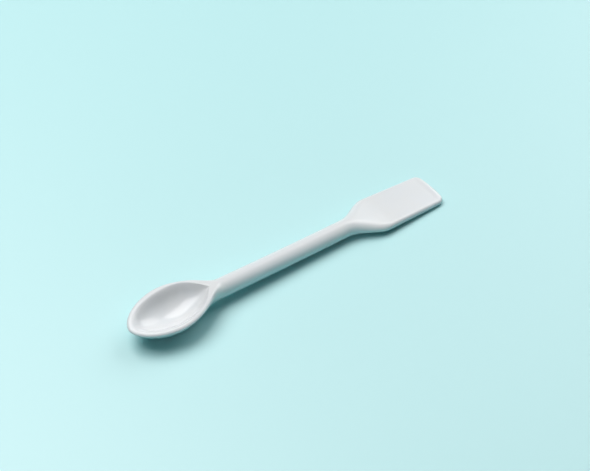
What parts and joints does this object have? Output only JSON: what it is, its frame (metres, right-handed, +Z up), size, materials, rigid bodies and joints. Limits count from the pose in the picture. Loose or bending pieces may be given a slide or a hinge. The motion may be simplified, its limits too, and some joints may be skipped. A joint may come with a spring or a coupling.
{
  "type": "lab spatula",
  "caption": "Glazed porcelain laboratory spatula with an egg-shaped spoon bowl, a round handle and a flat flared blade, for scooping, weighing out and spreading powders.",
  "frame": {"origin": "on the table, under the middle of the length and of the width", "axes": "+X along the length from the bowl to the blade, +Y across it, +Z up, square to the table it lies on"},
  "size_m": [0.15, 0.0244, 0.0103],
  "materials": {
    "porcelain": "smooth white glaze all over"
  },
  "bodies": {
    "root": {"spatula": "porcelain"}
  },
  "joints": []
}
